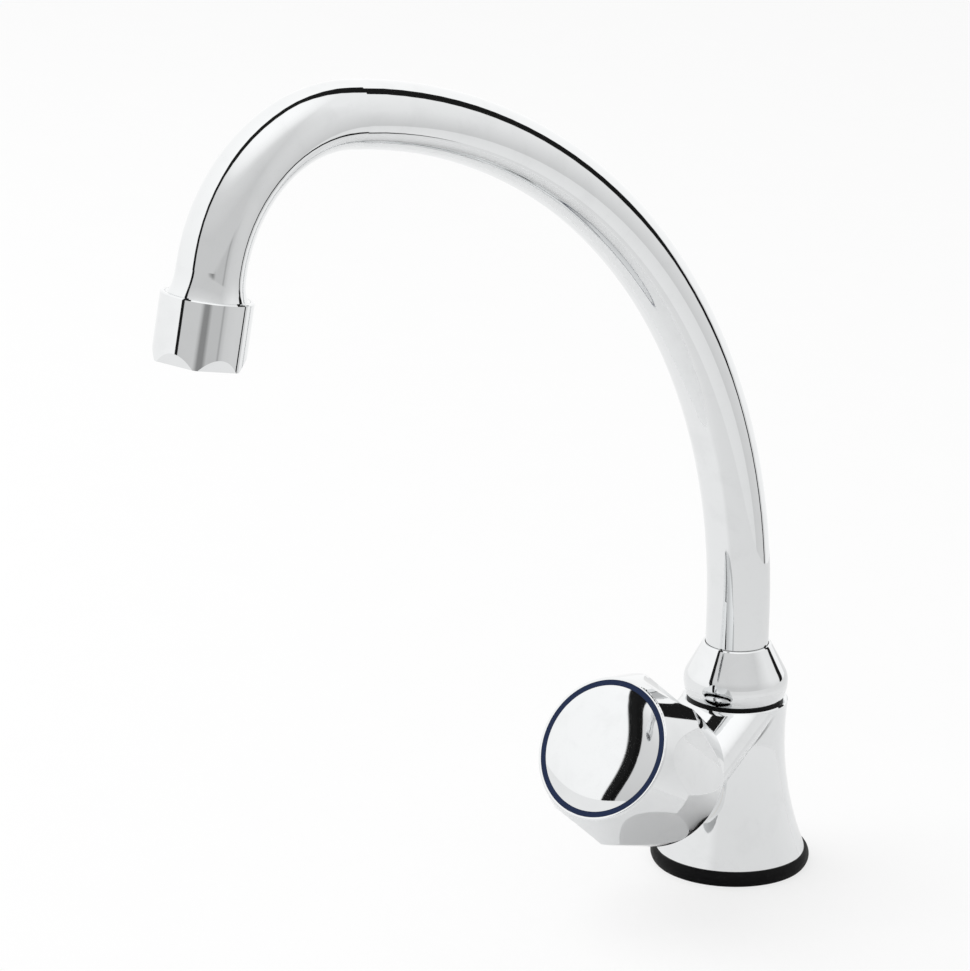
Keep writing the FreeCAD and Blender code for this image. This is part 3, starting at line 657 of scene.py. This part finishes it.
class TAP_OT_knob(bpy.types.Operator):
    """Plate the knob, with a duller plating in its cavity"""

    bl_idname = "tap.knob"
    bl_label = "Knob"

    def execute(self, context):
        finishes = context.scene.tap_finishes
        bores = ((valve_place(), KNOB_CAVITY),)
        finish_node("handle", chrome("Knob chrome", finishes, valve_place(), waves=70.0,
                                     wave_depth=1.5e-6, bores=bores, bare=finishes.chrome))
        finish_node("handle_cap", chrome("Cap chrome", finishes, valve_place(), waves=40.0,
                                         wave_depth=1.0e-6))
        return {"FINISHED"}


class TAP_OT_cold_ring(bpy.types.Operator):
    """Colour the ring that marks cold water"""

    bl_idname = "tap.cold_ring"
    bl_label = "Cold ring"

    def execute(self, context):
        ring = moulded("Cold ring plastic", context.scene.tap_finishes.cold, 0.25, pores=1500.0,
                       depth=1.5e-6, dust=0.03, shine=0.18)
        finish_node("cold_ring", ring)
        return {"FINISHED"}


class TAP_OT_base_ring(bpy.types.Operator):
    """Finish the rubber ring under the body"""

    bl_idname = "tap.base_ring"
    bl_label = "Base ring"

    def execute(self, context):
        finish_node("base_gasket", moulded("Base rubber", context.scene.tap_finishes.rubber, 0.50,
                                           dust=0.02, shine=0.1))
        return {"FINISHED"}


class TAP_OT_valve(bpy.types.Operator):
    """Finish the bonnet, the spindle, the piston and their screws"""

    bl_idname = "tap.valve"
    bl_label = "Valve"

    def execute(self, context):
        finishes = context.scene.tap_finishes
        brass = turned_metal("Valve brass", finishes.brass, 0.26, valve_place())
        for name in ("bonnet", "spindle", "valve_piston", "washer_screw"):
            finish_node(name, brass)
        steel = turned_metal("Fastener steel", finishes.steel, 0.28, valve_place(), pitch=0.0003)
        for name in ("handle_screw", "spindle_clip"):
            finish_node(name, steel)
        return {"FINISHED"}


class TAP_OT_seals(bpy.types.Operator):
    """Finish the o-rings, the washers and the plastic glide rings"""

    bl_idname = "tap.seals"
    bl_label = "Seals and glide rings"

    def execute(self, context):
        finishes = context.scene.tap_finishes
        seal = moulded("Seal rubber", finishes.seal, 0.42, pores=4000.0, depth=4.0e-6, dust=0.03)
        for name in ("spout_o_rings", "aerator_seal", "bonnet_seal", "spindle_o_rings", "valve_washer"):
            finish_node(name, seal)
        glide = moulded("Glide plastic", finishes.plastic, 0.35, pores=2000.0, depth=3.0e-6,
                        dust=0.04)
        for name in ("slip_washer", "glide_ring"):
            finish_node(name, glide)
        return {"FINISHED"}


def sky_direction(turn, lift):
    """Direction by its turn to the right of the camera and its lift, both in degrees."""
    heading = math.atan2(CAMERA_PLACE[1], CAMERA_PLACE[0]) + math.radians(turn)
    rise = math.radians(lift)
    return Vector((math.cos(rise) * math.cos(heading), math.cos(rise) * math.sin(heading),
                   math.sin(rise)))


def degrees_round(nodes, toward):
    """Turn to the right of the camera, and lift, of the direction in which a ray looks."""
    front = nodes.vector("DOT_PRODUCT", toward, sky_direction(0.0, 0.0))
    right = nodes.vector("DOT_PRODUCT", toward, sky_direction(90.0, 0.0))
    height = nodes.vector("DOT_PRODUCT", toward, (0.0, 0.0, 1.0))
    turn = nodes.math("DEGREES", nodes.math("ARCTAN2", right, front))
    lift = nodes.math("DEGREES", nodes.math("ARCSINE", height))
    return turn, lift


def panel_tone(nodes, toward, turn, lift):
    """Brightness of the soft panels: grey in front, brighter beside, behind and above."""
    share = nodes.curve(turn, SIDE_SHARE)
    beside = nodes.math("MULTIPLY_ADD", share, nodes.curve(lift, SIDE_RISE), FRONT_TONE)
    front = nodes.math("MAXIMUM", beside, nodes.curve(lift, FRONT_ABOVE))
    edge = nodes.curve(turn, PANEL_EDGE)
    sunk = nodes.ramp(nodes.math("ADD", lift, edge), EDGE_BLUR, -EDGE_BLUR, smooth=True)
    front = nodes.between(sunk, front, nodes.curve(lift, FRONT_BELOW))
    off_left = nodes.vector("DOT_PRODUCT", toward, sky_direction(*LEFT_LEG))
    in_front = nodes.math("GREATER_THAN", off_left, 0.0)
    return nodes.between(in_front, nodes.curve(lift, BACK_TONE), front)


def frame_gap(nodes, toward, lift):
    """Nought in the dark frame that parts the panels, and one beside it."""
    along = nodes.vector("DOT_PRODUCT", toward, sky_direction(*ALONG_FRAME))
    off_left = nodes.vector("DOT_PRODUCT", toward, sky_direction(*LEFT_LEG))
    off_right = nodes.vector("DOT_PRODUCT", toward, sky_direction(*RIGHT_LEG))
    share = nodes.ramp(along, *LEG_CHANGE, smooth=True)
    off = nodes.math("ABSOLUTE", nodes.between(share, off_left, off_right))
    off = nodes.math("DEGREES", nodes.math("ARCSINE", off))
    narrow = nodes.between(share, 1.0, nodes.curve(lift, RIGHT_LEG_NARROWING))
    half = nodes.math("MULTIPLY", nodes.curve(along, HALF_FRAME), narrow)
    return nodes.ramp(nodes.math("SUBTRACT", off, half), -FRAME_BLUR, FRAME_BLUR, smooth=True)


def stand_tone(nodes, turn, lift):
    """Soft dark upright of the camera's stand, seen low in front, and a thin one beside it."""
    dark = nodes.math("SUBTRACT", 1.0, nodes.curve(turn, STAND_TONE))
    shown = nodes.math("MULTIPLY", nodes.curve(lift, STAND_SHOWS), dark)
    return nodes.math("SUBTRACT", 1.0, shown)


def studio_world(studio):
    """White studio: plain white to the camera, and soft panels with a dark frame in the chrome."""
    world = bpy.data.worlds.new("Studio")
    world.use_nodes = True
    nodes = Nodes(world.node_tree)
    nodes.tree.nodes.clear()
    toward = nodes.add("ShaderNodeTexCoord").outputs["Generated"]
    turn, lift = degrees_round(nodes, toward)
    panels = panel_tone(nodes, toward, turn, lift)
    tone = nodes.math("MULTIPLY", panels, stand_tone(nodes, turn, lift))
    gap = nodes.ramp(frame_gap(nodes, toward, lift), 0.0, 1.0, FRAME_TONE, 1.0)
    tone = nodes.math("MULTIPLY", tone, gap)
    path = nodes.add("ShaderNodeLightPath")
    glossy = path.outputs["Is Glossy Ray"]
    strength = nodes.between(glossy, studio.ambient, tone)
    seen = nodes.math("MAXIMUM", path.outputs["Is Camera Ray"], path.outputs["Is Transmission Ray"])
    background = nodes.add("ShaderNodeBackground")
    nodes.put(background, "Color", (1.0, 1.0, 1.0, 1.0))
    nodes.link(nodes.math("MAXIMUM", strength, seen), background.inputs["Strength"])
    output = nodes.add("ShaderNodeOutputWorld")
    nodes.link(background.outputs[0], output.inputs["Surface"])
    return world


def screen_material(studio):
    """Glow of the low screen round the tap, a little softer in front and towards its top."""
    material, nodes, shader = new_material("Low screen")
    nodes.tree.nodes.remove(shader)
    here = nodes.add("ShaderNodeTexCoord").outputs["Object"]
    height = nodes.vector("DOT_PRODUCT", here, (0.0, 0.0, 1.0))
    front = nodes.curve(nodes.math("DIVIDE", height, studio.screen_height), SCREEN_FRONT)
    turn = degrees_round(nodes, nodes.vector("NORMALIZE", here))[0]
    aside = nodes.curve(nodes.math("ABSOLUTE", turn), SCREEN_ASIDE)
    left = nodes.math("MULTIPLY", aside, nodes.math("LESS_THAN", turn, 0.0))
    tone = nodes.between(left, front, SCREEN_LEFT)
    glow = nodes.add("ShaderNodeEmission")
    nodes.link(tone, glow.inputs["Strength"])
    nodes.show(glow.outputs[0])
    return material


def floor_material(studio):
    """Pale matt floor that keeps the shadow, and shows in the chrome as far as the low screen."""
    material, nodes, shader = new_material("Floor")
    here = nodes.add("ShaderNodeTexCoord").outputs["Object"]
    grain = nodes.noise(here, 40.0, detail=3.0)
    low, high = (rgba((tone,) * 3) for tone in FLOOR_TONES)
    nodes.put(shader, "Base Color", nodes.mix(grain, low, high))
    nodes.put(shader, "Roughness", 0.8)
    nodes.put(shader, "Specular IOR Level", 0.1)
    path = nodes.add("ShaderNodeLightPath")
    lifted = nodes.add("ShaderNodeMixShader")
    nodes.link(nodes.math("MULTIPLY", path.outputs["Is Camera Ray"], FLOOR_LIFT), lifted.inputs[0])
    nodes.link(shader.outputs[0], lifted.inputs[1])
    nodes.link(nodes.add("ShaderNodeEmission").outputs[0], lifted.inputs[2])
    beyond = nodes.math("GREATER_THAN", nodes.vector("LENGTH", here), studio.screen_radius)
    ending = nodes.add("ShaderNodeMixShader")
    nodes.link(nodes.math("MULTIPLY", beyond, path.outputs["Is Glossy Ray"]), ending.inputs[0])
    nodes.link(lifted.outputs[0], ending.inputs[1])
    nodes.link(nodes.add("ShaderNodeBsdfTransparent").outputs[0], ending.inputs[2])
    nodes.show(ending.outputs[0])
    return material


class TAP_OT_stage(bpy.types.Operator):
    """Make the floor, the low screen, the white studio, the soft lamp and the camera"""

    bl_idname = "tap.stage"
    bl_label = "Stage"

    def execute(self, context):
        studio = context.scene.tap_studio
        bpy.ops.object.select_all(action="DESELECT")
        bpy.ops.mesh.primitive_plane_add(size=studio.floor_size)
        floor = context.object
        floor.name = "Floor"
        floor.data.materials.append(floor_material(studio))
        self.make_screen(context, studio)
        context.scene.world = studio_world(studio)
        self.make_lamp(context, studio)
        self.make_camera(context, studio)
        context.scene.view_settings.view_transform = "Standard"
        return {"FINISHED"}

    def make_screen(self, context, studio):
        """Add the low round screen that only the chrome sees."""
        bpy.ops.object.select_all(action="DESELECT")
        bpy.ops.mesh.primitive_cylinder_add(vertices=SCREEN_SIDES, radius=studio.screen_radius,
                                            depth=studio.screen_height, end_fill_type="NOTHING",
                                            location=(0, 0, studio.screen_height / 2))
        screen = context.object
        bpy.ops.object.transform_apply(location=True)
        screen.name = "Low_screen"
        screen.data.materials.append(screen_material(studio))
        screen.visible_camera = False
        screen.visible_diffuse = False
        screen.visible_transmission = False
        screen.visible_shadow = False

    def make_lamp(self, context, studio):
        """Add the soft lamp above and to the left."""
        bpy.ops.object.light_add(type="AREA", location=LAMP_PLACE)
        lamp = context.object
        lamp.name = "Soft lamp"
        lamp.data.shape = "SQUARE"
        lamp.data.size = LAMP_SIDE
        lamp.data.energy = studio.lamp_power
        lamp.rotation_euler = (-lamp.location).to_track_quat("-Z", "Y").to_euler()
        lamp.visible_glossy = False

    def make_camera(self, context, studio):
        """Add the camera where the photograph was taken from."""
        bpy.ops.object.camera_add(location=studio.camera_place)
        camera = context.object
        camera.name = "Camera"
        turn = Matrix.Rotation(studio.camera_turn, 4, "Z")
        turn = turn @ Matrix.Rotation(studio.camera_pitch, 4, "X")
        turn = turn @ Matrix.Rotation(studio.camera_roll, 4, "Z")
        camera.rotation_euler = turn.to_euler()
        camera.data.sensor_fit = "HORIZONTAL"
        camera.data.sensor_width = SENSOR
        camera.data.lens = studio.lens
        camera.data.clip_start, camera.data.clip_end = CLIP
        context.scene.camera = camera


class TAP_PT_panel(bpy.types.Panel):
    """Lists the steps of the tap's finish"""

    bl_idname = "TAP_PT_panel"
    bl_label = "Kitchen tap"
    bl_space_type = "VIEW_3D"
    bl_region_type = "UI"
    bl_category = "Tap"

    def draw(self, context):
        layout = self.layout
        for operator in STEPS:
            layout.operator(operator.bl_idname)
        for group in (context.scene.tap_finishes, context.scene.tap_studio):
            for name in group.bl_rna.properties.keys():
                if name not in ("rna_type", "name"):
                    layout.prop(group, name)


STEPS = (
    TAP_OT_body,
    TAP_OT_nut,
    TAP_OT_spout,
    TAP_OT_outlet,
    TAP_OT_knob,
    TAP_OT_cold_ring,
    TAP_OT_base_ring,
    TAP_OT_valve,
    TAP_OT_seals,
    TAP_OT_stage,
)
CLASSES = (TapFinishes, TapStudio) + STEPS + (TAP_PT_panel,)


def register():
    """Register the classes and hang the settings on the scene."""
    for cls in CLASSES:
        bpy.utils.register_class(cls)
    bpy.types.Scene.tap_finishes = PointerProperty(type=TapFinishes)
    bpy.types.Scene.tap_studio = PointerProperty(type=TapStudio)


def unregister():
    """Take the settings and the classes away again."""
    del bpy.types.Scene.tap_studio
    del bpy.types.Scene.tap_finishes
    for cls in reversed(CLASSES):
        bpy.utils.unregister_class(cls)


def main():
    """Run every step in order."""
    register()
    bpy.ops.tap.body()
    bpy.ops.tap.nut()
    bpy.ops.tap.spout()
    bpy.ops.tap.outlet()
    bpy.ops.tap.knob()
    bpy.ops.tap.cold_ring()
    bpy.ops.tap.base_ring()
    bpy.ops.tap.valve()
    bpy.ops.tap.seals()
    bpy.ops.tap.stage()


if __name__ == "__main__":
    main()
